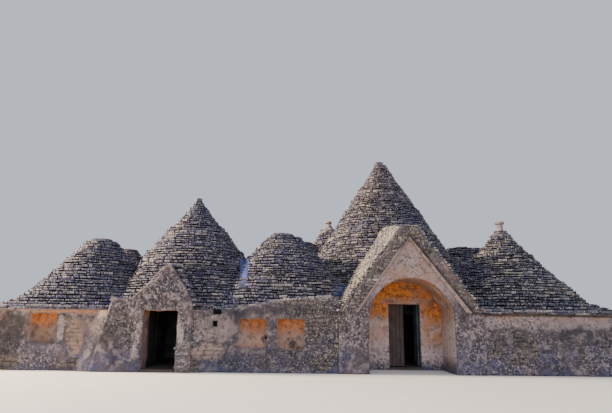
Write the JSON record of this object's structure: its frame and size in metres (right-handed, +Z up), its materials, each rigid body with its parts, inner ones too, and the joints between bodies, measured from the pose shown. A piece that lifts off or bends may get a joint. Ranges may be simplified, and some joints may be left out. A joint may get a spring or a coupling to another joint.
{
  "type": "trullo house",
  "caption": "Cluster of dry-stone conical roofs over thick plastered walls, with a gabled barrel-vaulted porch, a double plank door and a smaller gabled doorway.",
  "frame": {"origin": "centre of the overall footprint, on the ground", "axes": "+X along the front to the right, +Y from the front into the building, +Z up"},
  "size_m": [22.4, 11.46, 8.57],
  "materials": {
    "plastered_stone": "weathered lime plaster",
    "roof_slabs": "rough limestone slabs",
    "moulding_stone": "cut limestone",
    "whitewash": "limewashed",
    "floor_slabs": "worn stone slabs",
    "door_wood": "weathered planks",
    "iron": "rusted iron"
  },
  "bodies": {
    "house": {"back_wall": "plastered_stone", "door_head_wall": "plastered_stone", "door_left_wall": "plastered_stone", "door_right_wall": "plastered_stone", "left_end_wall": "plastered_stone", "left_front_wall": "plastered_stone", "left_partitions": "plastered_stone", "left_spine_wall": "plastered_stone", "main_room_left_wall": "plastered_stone", "main_room_rear_wall": "plastered_stone", "main_room_right_wall": "plastered_stone", "middle_wall": "plastered_stone", "portal_gable": "plastered_stone", "portal_left_pier": "plastered_stone", "portal_right_pier": "plastered_stone", "porch_gable": "plastered_stone", "porch_left_pier": "plastered_stone", "porch_right_pier": "plastered_stone", "porch_saddle": "plastered_stone", "rear_partitions": "plastered_stone", "right_end_wall": "plastered_stone", "right_front_wall": "plastered_stone", "right_spine_wall": "plastered_stone", "main_cone": "roof_slabs", "right_cone": "roof_slabs", "portal_cone": "roof_slabs", "middle_cone": "roof_slabs", "left_cone": "roof_slabs", "rear_spire_cone": "roof_slabs", "rear_right_cone": "roof_slabs", "rear_left_cone": "roof_slabs", "rear_middle_cone": "roof_slabs", "rear_low_cone": "roof_slabs", "cap_stones": "roof_slabs", "porch_left_slope": "roof_slabs", "porch_right_slope": "roof_slabs", "drip_moulding": "moulding_stone", "right_cornice": "moulding_stone", "pinnacles": "whitewash", "main_floor": "floor_slabs", "left_floor": "floor_slabs", "hinge_pins": "iron"},
    "left_leaf": {"door_left_leaf": "door_wood", "door_left_straps": "iron"},
    "right_leaf": {"door_right_leaf": "door_wood", "door_right_straps": "iron"}
  },
  "joints": [
    {"name": "left_leaf_hinge", "type": "hinge", "parent": "house", "child": "left_leaf", "pos_m": [2.873, -3.699, 1], "axis": [0, 0, 1], "range_deg": [0, 90]},
    {"name": "right_leaf_hinge", "type": "hinge", "parent": "house", "child": "right_leaf", "pos_m": [3.927, -3.699, 1], "axis": [0, 0, 1], "range_deg": [0, 90]}
  ]
}
